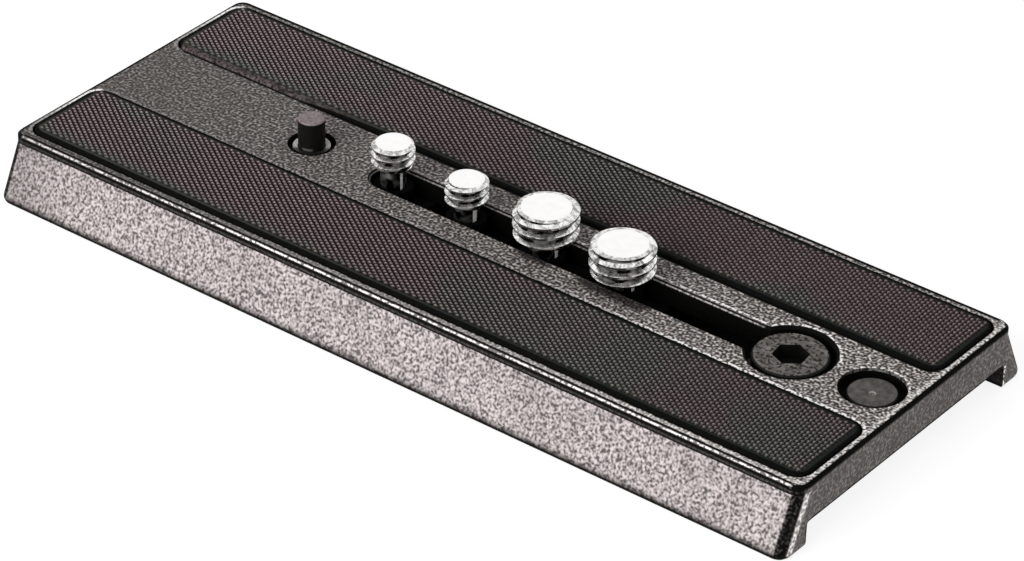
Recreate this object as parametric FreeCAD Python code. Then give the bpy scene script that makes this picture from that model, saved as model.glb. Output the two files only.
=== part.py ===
import FreeCAD, Part
import math
import os

from FreeCAD import Vector

# A sliding quick release plate for a video tripod head. Millimetres, X along the plate,
# Z up, origin on the plane of the two rail feet under the middle of the plate.

# Plate body
plate_length = 140.0
plate_height = 10.3
deck_width = 50.0            # across the top face, inside the edge bevel
deck_thickness = 6.1         # at the ends, over the open channel
edge_bevel = 0.45
lip_height = 1.0             # upright band under the edge bevel
flank_angle = 25.0           # of the dovetail flank, from upright
toe_radius = 1.05            # along the widest edge of the dovetail
corner_radius = 2.0          # of the four upright corners
rail_foot_width = 4.2        # from the rounded toe's end to the inner wall
rail_draft = 0.1             # how much thicker a rail is at its root
rail_root_radius = 0.5
rail_foot_radius = 0.9

# Slot with keyhole, and the channel under it for the screw heads
slot_width = 6.0
slot_left = -22.7
keyhole_from_end = 19.6      # from the plate's right end to the middle of the keyhole
keyhole_diameter = 12.5
mouth_bevel = 0.4
web_thickness = 3.5          # deck left over the head channel
head_channel_width = 14.6
head_channel_left = -27.5
head_channel_end_wall = 2.0

# Grip pads
pad_end_rim = 1.2            # metal left between the pocket and the deck's ends
pad_side_rim = 1.15
pad_inner_edge = 8.0         # from the plate's centre line
pocket_depth = 1.5
pocket_corner_radius = 2.6
pad_side_gap = 0.25
pad_proud = 0.5
pad_bevel = 0.55

# Camera screws, from left to right
quarter_major_diameter = 6.35
quarter_tip_diameter = 4.85
quarter_thread_length = 3.9
quarter_neck_side_gap = 1.15       # from the neck to the side of the slot
quarter_head_diameter = 11.0
quarter_head_thickness = 3.0
three_eighths_major_diameter = 9.525
three_eighths_tip_diameter = 7.9
three_eighths_thread_length = 4.8
three_eighths_neck_side_gap = 0.7
three_eighths_head_diameter = 12.1
three_eighths_head_thickness = 3.1
tip_bevel_height = 0.6
screw_x = [-19.3, -5.86, 8.3, 21.7]
screw_tip_height = [6.15, 5.35, 6.36, 5.76]   # above the deck, as the photo shows them
raised_tip_height = 6.4      # above the deck, with the head drawn up
coin_slot_width = 1.5
coin_slot_depth = 1.1

# Friction ring round each neck, and square washer on each head
ring_top_below_deck = 0.9
ring_height = 2.4
washer_thickness = 0.5
slide_gap = 0.05             # running fit of a ring in the slot and on its neck
lift_gap = 0.05              # left over the washer when the head is drawn up
washer_bore_gap = 0.15
washer_seat_gap = 0.03
washer_inset = 0.35          # how far the head reaches past its washer

# Anti-twist pin with its bush, spring and cap
pin_x = -34.55
pin_diameter = 4.0
pin_height = 4.25            # above the deck
pin_edge_bevel = 0.15
pin_flange_diameter = 8.0
pin_flange_thickness = 1.0
pin_spigot_diameter = 3.0
pin_spigot_length = 0.7
pin_counterbore_diameter = 7.1
pin_counterbore_depth = 0.9
pin_web_thickness = 1.4
bush_diameter = 5.5
bush_top_below_deck = 0.3
pin_running_gap = 0.08
chamber_gap = 0.3            # between the flange and the spring chamber
boss_wall = 1.9
boss_foot_height = 0.9       # of the boss and the cap above the feet
cap_thickness = 1.1
cap_slot_width = 1.2
cap_slot_depth = 0.6
spring_wire_diameter = 0.5
spring_turns = 3.0
spring_top_diameter = 4.6    # to the middle of the wire
spring_bottom_diameter = 7.6
spring_steps_per_turn = 12
spring_wire_sides = 6

# Keyhole stop and its strip, held by a rivet
stop_head_diameter = 10.8
stop_top_below_deck = 0.3
stop_shank_diameter = 6.0
stop_socket_flats = 4.6
stop_socket_turn = 38.0      # of one corner, from the plate's length
stop_socket_depth = 2.2
stop_edge_bevel = 0.3
strip_reach = 6.4            # from the stop's axis to the strip's left end
strip_thickness = 2.0
strip_side_gap = 0.5
rivet_from_end = 6.2
rivet_recess_diameter = 9.6
rivet_recess_depth = 1.7
rivet_head_diameter = 7.2
rivet_head_thickness = 1.0
rivet_shank_diameter = 4.5
rivet_foot_diameter = 6.6
rivet_foot_thickness = 1.0
rivet_dimple_diameter = 1.8
rivet_dimple_depth = 0.45
rivet_edge_bevel = 0.2       # of the head
seat_gap = 0.02              # round pieces that are pressed or screwed in

# Levels, places and widths that follow from the sizes above
deck_top = plate_height
deck_under = plate_height - deck_thickness
channel_roof = deck_top - web_thickness
keyhole_x = plate_length / 2 - keyhole_from_end
rivet_x = plate_length / 2 - rivet_from_end
head_channel_right = plate_length / 2 - head_channel_end_wall
quarter_neck_diameter = slot_width - 2 * quarter_neck_side_gap
three_eighths_neck_diameter = slot_width - 2 * three_eighths_neck_side_gap
lip_half_width = deck_width / 2 + edge_bevel
lip_foot = deck_top - edge_bevel - lip_height
toe_corner = lip_half_width + lip_foot * math.tan(math.radians(flank_angle))
toe_reach = toe_radius / math.tan(math.radians(90 - flank_angle) / 2)
rail_inner_foot = toe_corner - toe_reach - rail_foot_width
pin_web_under = deck_top - pin_counterbore_depth - pin_web_thickness
chamber_diameter = pin_flange_diameter + 2 * chamber_gap
cap_top = boss_foot_height + cap_thickness
slide_clearance = slide_gap + seat_gap
through = 1.0                # how far a cutter runs past the face it opens
same_place = 1e-6            # levels and places closer than this count as the same


def up_cylinder(x, y, diameter, bottom, top):
    """Upright cylinder between two levels."""
    return Part.makeCylinder(diameter / 2, top - bottom, Vector(x, y, bottom))


def turned(x, profile):
    """Piece turned about an upright axis at x, from a closed list of (radius, level) points."""
    points = [Vector(x + radius, 0, level) for radius, level in profile]
    face = Part.Face(Part.makePolygon(points + points[:1]))
    return face.revolve(Vector(x, 0, 0), Vector(0, 0, 1), 360)


def rounded_wire(corners):
    """Closed wire through (point, radius) corners, with an arc at each corner that has a radius."""
    stretches = []
    for index, (corner, radius) in enumerate(corners):
        before = corners[index - 1][0]
        after = corners[(index + 1) % len(corners)][0]
        towards_before = (before - corner).normalize()
        towards_after = (after - corner).normalize()
        half_angle = towards_before.getAngle(towards_after) / 2
        reach = radius / math.tan(half_angle)
        inwards = (towards_before + towards_after).normalize()
        start = corner + towards_before * reach
        middle = corner + inwards * (radius / math.sin(half_angle) - radius)
        end = corner + towards_after * reach
        stretches.append((start, middle, end))
    edges = []
    for index, (start, middle, end) in enumerate(stretches):
        previous_end = stretches[index - 1][2]
        edges.append(Part.makeLine(previous_end, start))
        if corners[index][1] > 0:
            edges.append(Part.Arc(start, middle, end).toShape())
    return Part.Wire(edges)


def rounded_slab(left, right, front, back, radius, bottom, top):
    """Flat block with rounded upright corners."""
    corners = [
        (Vector(left, front, bottom), radius),
        (Vector(right, front, bottom), radius),
        (Vector(right, back, bottom), radius),
        (Vector(left, back, bottom), radius),
    ]
    face = Part.Face(rounded_wire(corners))
    return face.extrude(Vector(0, 0, top - bottom))


def long_hole(left, right, width, bottom, top):
    """Block with half-round ends, on the plate's centre line."""
    radius = width / 2
    ends = up_cylinder(left + radius, 0, width, bottom, top)
    ends = ends.fuse(up_cylinder(right - radius, 0, width, bottom, top))
    middle = Part.makeBox(right - left - width, width, top - bottom, Vector(left + radius, -radius, bottom))
    return ends.fuse(middle).removeSplitter()


def edges_at_level(shape, level, left, right, half_width):
    """Edges that lie wholly at one level, inside a rectangle about the centre line."""
    chosen = []
    for edge in shape.Edges:
        box = edge.BoundBox
        is_level = abs(box.ZMin - level) < same_place and abs(box.ZMax - level) < same_place
        is_inside = box.XMin > left and box.XMax < right and max(-box.YMin, box.YMax) < half_width
        if is_level and is_inside:
            chosen.append(edge)
    return chosen


def outer_block():
    """The plate's outer shape: bevelled top edge, lip band, sloping flanks and rounded toes."""
    half = plate_length / 2
    section = [
        Vector(-half, -lip_half_width, deck_top),
        Vector(-half, -lip_half_width, lip_foot),
        Vector(-half, -toe_corner, 0),
        Vector(-half, toe_corner, 0),
        Vector(-half, lip_half_width, lip_foot),
        Vector(-half, lip_half_width, deck_top),
    ]
    face = Part.Face(Part.makePolygon(section + section[:1]))
    block = face.extrude(Vector(plate_length, 0, 0))
    sloping = [edge for edge in block.Edges if edge.BoundBox.XLength < same_place]
    corners = [edge for edge in sloping if edge.BoundBox.ZLength > same_place]
    block = block.makeFillet(corner_radius, corners)
    rim = [edge for edge in block.Edges if edge.BoundBox.ZMin > deck_top - same_place]
    block = block.makeChamfer(edge_bevel, rim)
    lower = [edge for edge in block.Edges if edge.BoundBox.ZMax < same_place]
    return block.makeFillet(toe_radius, lower)


def rail_channel():
    """Open channel between the two rails, from end to end."""
    left = -plate_length / 2 - through
    length = plate_length + 2 * through
    root = rail_inner_foot - rail_draft
    flare = rail_foot_radius
    corners = [
        (Vector(left, -rail_inner_foot - flare, -flare), 0),
        (Vector(left, rail_inner_foot + flare, -flare), 0),
        (Vector(left, rail_inner_foot + flare, 0), 0),
        (Vector(left, rail_inner_foot, 0), rail_foot_radius),
        (Vector(left, root, deck_under), rail_root_radius),
        (Vector(left, -root, deck_under), rail_root_radius),
        (Vector(left, -rail_inner_foot, 0), rail_foot_radius),
        (Vector(left, -rail_inner_foot - flare, 0), 0),
    ]
    face = Part.Face(rounded_wire(corners))
    return face.extrude(Vector(length, 0, 0))


def pad_outline(side, gap):
    """Left, right, front and back limits of a pad pocket, drawn in by a gap."""
    reach = plate_length / 2 - pad_end_rim - gap
    inner = pad_inner_edge + gap
    outer = deck_width / 2 - pad_side_rim - gap
    front = min(side * inner, side * outer)
    back = max(side * inner, side * outer)
    return -reach, reach, front, back


def pad_pocket(side):
    """Cutter for one pad pocket."""
    left, right, front, back = pad_outline(side, 0)
    floor = deck_top - pocket_depth
    return rounded_slab(left, right, front, back, pocket_corner_radius, floor, deck_top + through)


def keyhole_slot():
    """Cutter for the camera screw slot with the keyhole at its right end."""
    bottom = channel_roof - through
    top = deck_top + through
    slot = long_hole(slot_left, keyhole_x + slot_width / 2, slot_width, bottom, top)
    return slot.fuse(up_cylinder(keyhole_x, 0, keyhole_diameter, bottom, top)).removeSplitter()


def head_channel():
    """Cutter for the channel that the screw heads run in."""
    return long_hole(head_channel_left, head_channel_right, head_channel_width, -through, channel_roof)


def pin_boss():
    """Boss under the deck that houses the pin's spring."""
    return up_cylinder(pin_x, 0, chamber_diameter + 2 * boss_wall, boss_foot_height, deck_under + through)


def pin_bores():
    """Cutters for the pin: counterbore in the deck, seat of the bush, and spring chamber."""
    counterbore = up_cylinder(
        pin_x, 0, pin_counterbore_diameter, deck_top - pin_counterbore_depth, deck_top + through)
    seat = up_cylinder(pin_x, 0, bush_diameter + 2 * seat_gap, pin_web_under - through, deck_top)
    chamber = up_cylinder(pin_x, 0, chamber_diameter, 0, pin_web_under)
    return [counterbore, seat, chamber]


def rivet_bores():
    """Cutters for the rivet's recess and shank."""
    recess = up_cylinder(
        rivet_x, 0, rivet_recess_diameter, deck_top - rivet_recess_depth, deck_top + through)
    shank = up_cylinder(rivet_x, 0, rivet_shank_diameter + 2 * seat_gap, 0, deck_top)
    return [recess, shank]


def plate_body():
    """The plate itself: one casting with dovetail flanks, pad pockets, slot and keyhole."""
    body = outer_block().cut(rail_channel())
    body = body.fuse(pin_boss())
    cutters = [pad_pocket(-1), pad_pocket(1), keyhole_slot(), head_channel()]
    for cutter in cutters + pin_bores() + rivet_bores():
        body = body.cut(cutter)
    body = body.removeSplitter()
    recess_left = rivet_x - rivet_recess_diameter / 2
    mouth = edges_at_level(body, deck_top, slot_left - through, recess_left, pad_inner_edge)
    return body.makeChamfer(mouth_bevel, mouth)


def grip_pad(side):
    """Rubber pad with a bevelled top edge, lying on the floor of its pocket."""
    left, right, front, back = pad_outline(side, pad_side_gap)
    bottom = deck_top - pocket_depth
    top = deck_top + pad_proud
    pad = rounded_slab(left, right, front, back, pocket_corner_radius - pad_side_gap, bottom, top)
    rim = [edge for edge in pad.Edges if edge.BoundBox.ZMin > top - same_place]
    return pad.makeChamfer(pad_bevel, rim)


def head_top_level(tip_height):
    """Level of a screw head's upper face, for a given height of its tip above the deck."""
    drawn_up = channel_roof - lift_gap - washer_thickness - washer_seat_gap
    return drawn_up - (raised_tip_height - tip_height)


def camera_screw(x, tip_height, thread, head):
    """Camera screw: thread above, slim neck, and a low head with a coin slot."""
    major_diameter, tip_diameter, thread_length, neck_diameter = thread
    head_diameter, head_thickness = head
    crest = major_diameter / 2
    neck = neck_diameter / 2
    rim = head_diameter / 2
    tip = deck_top + tip_height
    thread_end = tip - thread_length
    head_top = head_top_level(tip_height)
    head_bottom = head_top - head_thickness
    screw = turned(x, [
        (0, tip),
        (tip_diameter / 2, tip),
        (crest, tip - tip_bevel_height),
        (crest, thread_end),
        (neck, thread_end),
        (neck, head_top),
        (rim, head_top),
        (rim, head_bottom),
        (0, head_bottom),
    ])
    corner = Vector(x - rim - through, -coin_slot_width / 2, head_bottom - through)
    slot_length = head_diameter + 2 * through
    return screw.cut(Part.makeBox(slot_length, coin_slot_width, coin_slot_depth + through, corner))


def friction_ring(x, neck_diameter):
    """Rubber ring in the slot, which grips the neck so that the screw stays where it is put."""
    inner = neck_diameter / 2 + slide_clearance
    outer = slot_width / 2 - slide_gap
    top = deck_top - ring_top_below_deck
    bottom = top - ring_height
    return turned(x, [(inner, top), (outer, top), (outer, bottom), (inner, bottom)])


def head_washer(x, tip_height, neck_diameter, head_diameter):
    """Thin square washer that lies on a screw's head and meets the roof of the channel."""
    side = head_diameter - 2 * washer_inset
    bottom = head_top_level(tip_height) + washer_seat_gap
    top = bottom + washer_thickness
    washer = Part.makeBox(side, side, washer_thickness, Vector(x - side / 2, -side / 2, bottom))
    bore = neck_diameter + 2 * washer_bore_gap
    return washer.cut(up_cylinder(x, 0, bore, bottom - through, top + through))


def anti_twist_pin():
    """Sprung pin: straight above, with a flange that stops it under the deck."""
    radius = pin_diameter / 2
    flange = pin_flange_diameter / 2
    spigot = pin_spigot_diameter / 2
    tip = deck_top + pin_height
    flange_top = pin_web_under - lift_gap
    flange_bottom = flange_top - pin_flange_thickness
    spigot_bottom = flange_bottom - pin_spigot_length
    return turned(pin_x, [
        (0, tip),
        (radius - pin_edge_bevel, tip),
        (radius, tip - pin_edge_bevel),
        (radius, flange_top),
        (flange, flange_top),
        (flange, flange_bottom),
        (spigot, flange_bottom),
        (spigot, spigot_bottom),
        (0, spigot_bottom),
    ])


def pin_bush():
    """Guide bush pressed into the deck round the pin."""
    inner = pin_diameter / 2 + pin_running_gap
    outer = bush_diameter / 2
    top = deck_top - bush_top_below_deck
    return turned(pin_x, [(inner, top), (outer, top), (outer, pin_web_under), (inner, pin_web_under)])


def pin_spring():
    """Tapered coil spring between the pin's flange and the cap."""
    wire = spring_wire_diameter / 2
    top = pin_web_under - lift_gap - pin_flange_thickness - wire
    bottom = cap_top + wire
    step_count = round(spring_turns * spring_steps_per_turn)
    sections = []
    for step in range(step_count + 1):
        part_way = step / step_count
        turn = part_way * spring_turns * 2 * math.pi
        coil_diameter = spring_bottom_diameter + part_way * (spring_top_diameter - spring_bottom_diameter)
        level = bottom + part_way * (top - bottom)
        corners = []
        for side in range(spring_wire_sides):
            around = side * 2 * math.pi / spring_wire_sides
            out = coil_diameter / 2 + wire * math.cos(around)
            x = pin_x + out * math.cos(turn)
            corners.append(Vector(x, out * math.sin(turn), level + wire * math.sin(around)))
        sections.append(Part.makePolygon(corners + corners[:1]))
    return Part.makeLoft(sections, True, True)


def pin_cap():
    """Slotted cap that closes the spring chamber from below."""
    diameter = chamber_diameter - 2 * seat_gap
    cap = up_cylinder(pin_x, 0, diameter, boss_foot_height, cap_top)
    corner = Vector(pin_x - diameter / 2 - through, -cap_slot_width / 2, boss_foot_height - through)
    return cap.cut(Part.makeBox(diameter + 2 * through, cap_slot_width, cap_slot_depth + through, corner))


def keyhole_stop_screw():
    """Flat-headed stop in the keyhole, with a hexagon socket, screwed into the strip below."""
    rim = stop_head_diameter / 2
    shank = stop_shank_diameter / 2
    top = deck_top - stop_top_below_deck
    foot = channel_roof - strip_thickness
    stop = turned(keyhole_x, [
        (0, top),
        (rim - stop_edge_bevel, top),
        (rim, top - stop_edge_bevel),
        (rim, channel_roof),
        (shank, channel_roof),
        (shank, foot),
        (0, foot),
    ])
    corner_radius_of_socket = stop_socket_flats / 2 / math.cos(math.pi / 6)
    corners = []
    for step in range(7):
        angle = math.radians(stop_socket_turn) + step * math.pi / 3
        x = keyhole_x + corner_radius_of_socket * math.cos(angle)
        corners.append(Vector(x, corner_radius_of_socket * math.sin(angle), top - stop_socket_depth))
    socket = Part.Face(Part.makePolygon(corners)).extrude(Vector(0, 0, stop_socket_depth + through))
    return stop.cut(socket)


def keyhole_stop_strip():
    """Strip under the web that carries the keyhole stop and is held by the rivet."""
    top = channel_roof
    bottom = top - strip_thickness
    width = head_channel_width - 2 * strip_side_gap
    right = head_channel_right - strip_side_gap
    left = keyhole_x - strip_reach
    strip = long_hole(left - width / 2, right, width, bottom, top)
    spare_corner = Vector(left - width, -width, bottom - through)
    strip = strip.cut(Part.makeBox(width, 2 * width, 2 * strip_thickness, spare_corner))
    for x, shank_diameter in ((keyhole_x, stop_shank_diameter), (rivet_x, rivet_shank_diameter)):
        bore = up_cylinder(x, 0, shank_diameter + 2 * seat_gap, bottom - through, top + through)
        strip = strip.cut(bore)
    return strip


def stop_rivet():
    """Rivet with a dimpled head in its recess, and its foot spread under the strip."""
    head_bottom = deck_top - rivet_recess_depth
    head_top = head_bottom + rivet_head_thickness
    strip_bottom = channel_roof - strip_thickness
    foot_bottom = strip_bottom - rivet_foot_thickness
    rim = rivet_head_diameter / 2
    shank = rivet_shank_diameter / 2
    foot = rivet_foot_diameter / 2
    return turned(rivet_x, [
        (0, head_top - rivet_dimple_depth),
        (rivet_dimple_diameter / 2, head_top),
        (rim - rivet_edge_bevel, head_top),
        (rim, head_top - rivet_edge_bevel),
        (rim, head_bottom),
        (shank, head_bottom),
        (shank, strip_bottom),
        (foot, strip_bottom),
        (foot, foot_bottom),
        (0, foot_bottom),
    ])


def camera_screw_sets():
    """The four camera screws, each with its friction ring and head washer."""
    quarter_thread = (
        quarter_major_diameter, quarter_tip_diameter, quarter_thread_length, quarter_neck_diameter)
    three_eighths_thread = (
        three_eighths_major_diameter, three_eighths_tip_diameter,
        three_eighths_thread_length, three_eighths_neck_diameter)
    quarter_head = (quarter_head_diameter, quarter_head_thickness)
    three_eighths_head = (three_eighths_head_diameter, three_eighths_head_thickness)
    kinds = [
        ("quarter_inch_screw_1", quarter_thread, quarter_head),
        ("quarter_inch_screw_2", quarter_thread, quarter_head),
        ("three_eighths_screw_1", three_eighths_thread, three_eighths_head),
        ("three_eighths_screw_2", three_eighths_thread, three_eighths_head),
    ]
    pieces = {}
    for number, (name, thread, head) in enumerate(kinds):
        x = screw_x[number]
        tip_height = screw_tip_height[number]
        neck_diameter = thread[3]
        pieces[name] = camera_screw(x, tip_height, thread, head)
        pieces["friction_ring_%d" % (number + 1)] = friction_ring(x, neck_diameter)
        pieces["head_washer_%d" % (number + 1)] = head_washer(x, tip_height, neck_diameter, head[0])
    return pieces


def main():
    pieces = {
        "plate_body": plate_body(),
        "grip_pad_near": grip_pad(-1),
        "grip_pad_far": grip_pad(1),
        "anti_twist_pin": anti_twist_pin(),
        "pin_bush": pin_bush(),
        "pin_spring": pin_spring(),
        "pin_cap": pin_cap(),
        "keyhole_stop_screw": keyhole_stop_screw(),
        "keyhole_stop_strip": keyhole_stop_strip(),
        "stop_rivet": stop_rivet(),
    }
    pieces.update(camera_screw_sets())
    os.makedirs("parts", exist_ok=True)
    for name, shape in pieces.items():
        shape.exportStep(os.path.join("parts", name + ".step"))
        print(name, len(shape.Solids), round(shape.Volume, 3), shape.isValid())


main()
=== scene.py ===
import math

import bpy
from mathutils import Matrix, Vector


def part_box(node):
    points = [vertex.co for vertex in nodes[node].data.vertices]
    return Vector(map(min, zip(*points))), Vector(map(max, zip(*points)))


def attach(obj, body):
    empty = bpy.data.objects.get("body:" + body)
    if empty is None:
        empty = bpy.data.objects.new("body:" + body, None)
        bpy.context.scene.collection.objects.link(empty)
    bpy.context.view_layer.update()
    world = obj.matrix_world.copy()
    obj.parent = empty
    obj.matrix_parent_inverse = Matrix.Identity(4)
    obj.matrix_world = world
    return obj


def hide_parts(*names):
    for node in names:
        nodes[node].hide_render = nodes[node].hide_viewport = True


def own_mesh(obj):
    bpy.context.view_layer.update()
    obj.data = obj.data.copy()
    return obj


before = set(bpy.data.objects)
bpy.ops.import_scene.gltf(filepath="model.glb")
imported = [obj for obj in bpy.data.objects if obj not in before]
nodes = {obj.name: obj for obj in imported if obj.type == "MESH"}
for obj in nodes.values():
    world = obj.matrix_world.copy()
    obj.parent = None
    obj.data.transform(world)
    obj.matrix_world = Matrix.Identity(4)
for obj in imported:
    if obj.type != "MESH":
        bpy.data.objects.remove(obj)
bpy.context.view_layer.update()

mm = 0.001

# Plate sizes, in metres, with the origin on the plane of the rail feet
plate_half_length = 70.0 * mm
deck_top = 10.3 * mm
deck_half_width = 25.0 * mm
edge_bevel = 0.45 * mm
lip_foot = 8.85 * mm
lip_half_width = 25.45 * mm
flank_slope = 0.4663              # how far a flank reaches out for each unit down
corner_radius = 2.0 * mm
channel_roof = 6.8 * mm
deck_under = 4.2 * mm             # at the ends, over the channel between the rails
rail_inner = 23.65 * mm           # inner side of a rail, from the centre line
pocket_half_length = 68.8 * mm
pocket_middle = 15.925 * mm
pocket_half_width = 7.925 * mm
pocket_corner_radius = 2.6 * mm
slot_left = -22.7 * mm
slot_half_width = 3.0 * mm
mouth_bevel = 0.4 * mm
keyhole_x = 50.4 * mm
keyhole_radius = 6.25 * mm
rivet_x = 63.8 * mm
rivet_recess_radius = 4.8 * mm
pin_x = -34.55 * mm
bush_highlight_way = (0.788, 0.616)    # level direction of the painted highlights on the bush and the pin
bush_front_way = (0.606, -0.795)
stop_face_radius = 5.15 * mm
rivet_face_radius = 3.35 * mm
rivet_dimple_radius = 0.42 * mm

# Grip pads
pad_gap = 0.25 * mm
pad_bottom = 8.8 * mm
pad_top = 10.8 * mm
pyramid_height = 0.26 * mm
pyramid_long_diagonal = 1.266 * mm
pyramid_short_diagonal = 0.855 * mm
pad_edge_rounding = 0.4 * mm
pad_front_border = 0.75 * mm      # smooth strip along the pad's near side
pad_border = 0.35 * mm            # smooth strip along its other sides
field_depth = 0.3 * mm            # how far the sheet of pyramids reaches into the pad

# Spring under the pin, between the cap and the pin's flange
spring_foot = 2.0 * mm
spring_top = 6.92 * mm
spring_wire = 0.5 * mm
spring_wide = 7.6 * mm            # across the lowest coil, between the wire's middles
spring_narrow = 4.6 * mm
spring_turns = 3
spring_gap = 0.015 * mm           # under the lowest coil

# Camera screws
thread_depth = 0.40               # as a share of the pitch
crest_share = 0.20
root_share = 0.34
turns_below = 1.507               # where the winding starts, so that no corner lies in a cut
thread_foot_bevel = 0.7 * mm
shade_share = 0.06                 # how far the painted shade climbs out of the groove
crest_clearance = 0.02 * mm
tip_drop = 0.4 * mm               # how far the sloping rim of the tip falls
coin_slot_width = 1.5 * mm
coin_slot_depth = 1.1 * mm
head_bevels = (0.35 * mm, 0.3 * mm)
milling_gap = 0.06 * mm
milling_depth = 0.15 * mm
highlight_turn = -12                 # degrees from +X to the middle of the painted highlight on a neck
highlight_half_turn = 9


# Small helpers for modelling by hand

def deselect_all():
    """Leaves object mode with nothing selected."""
    if bpy.context.mode != "OBJECT":
        bpy.ops.object.mode_set(mode="OBJECT")
    bpy.ops.object.select_all(action="DESELECT")


def pick(piece):
    """Selects one piece and nothing else."""
    deselect_all()
    bpy.context.view_layer.objects.active = piece
    piece.select_set(True)


def named(name):
    """Gives the object just added its name and returns it."""
    piece = bpy.context.object
    piece.name = name
    piece.data.name = name
    return piece


def start_edit(piece, kind="FACE"):
    """Opens a piece in edit mode with nothing selected."""
    pick(piece)
    bpy.ops.object.mode_set(mode="EDIT")
    bpy.ops.mesh.select_mode(type=kind)
    bpy.ops.mesh.select_all(action="DESELECT")


def end_edit():
    bpy.ops.object.mode_set(mode="OBJECT")


def select_faces(piece, test):
    """Selects the faces whose centre and normal pass a test."""
    bpy.ops.object.mode_set(mode="OBJECT")
    for face in piece.data.polygons:
        face.select = bool(test(face.center, face.normal))
    bpy.ops.object.mode_set(mode="EDIT")


def select_edges(piece, test):
    """Selects the edges whose two ends pass a test."""
    bpy.ops.object.mode_set(mode="OBJECT")
    points = piece.data.vertices
    for edge in piece.data.edges:
        a, b = edge.vertices
        edge.select = bool(test(points[a].co, points[b].co))
    bpy.ops.object.mode_set(mode="EDIT")


def place_in_mesh(piece):
    """Puts a piece's place, turn and scale into its mesh, so that the object sits at the origin."""
    pick(piece)
    bpy.ops.object.transform_apply(location=True, rotation=True, scale=True)


def copied(piece, name):
    """Copy of a piece with a mesh of its own."""
    pick(piece)
    bpy.ops.object.duplicate(linked=False)
    return named(name)


def apply_modifier(piece, kind, **settings):
    """Adds a modifier with these settings and applies it."""
    pick(piece)
    modifier = piece.modifiers.new(kind.lower(), kind)
    for key, value in settings.items():
        setattr(modifier, key, value)
    bpy.ops.object.modifier_apply(modifier=modifier.name)


def smooth(piece, degrees=35):
    """Smooth shading with sharp edges kept."""
    pick(piece)
    bpy.ops.object.shade_smooth_by_angle(angle=math.radians(degrees))


def join(pieces, name):
    """Joins pieces into the first one."""
    deselect_all()
    for piece in pieces:
        piece.select_set(True)
    bpy.context.view_layer.objects.active = pieces[0]
    bpy.ops.object.join()
    return named(name)


# Finishes

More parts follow.
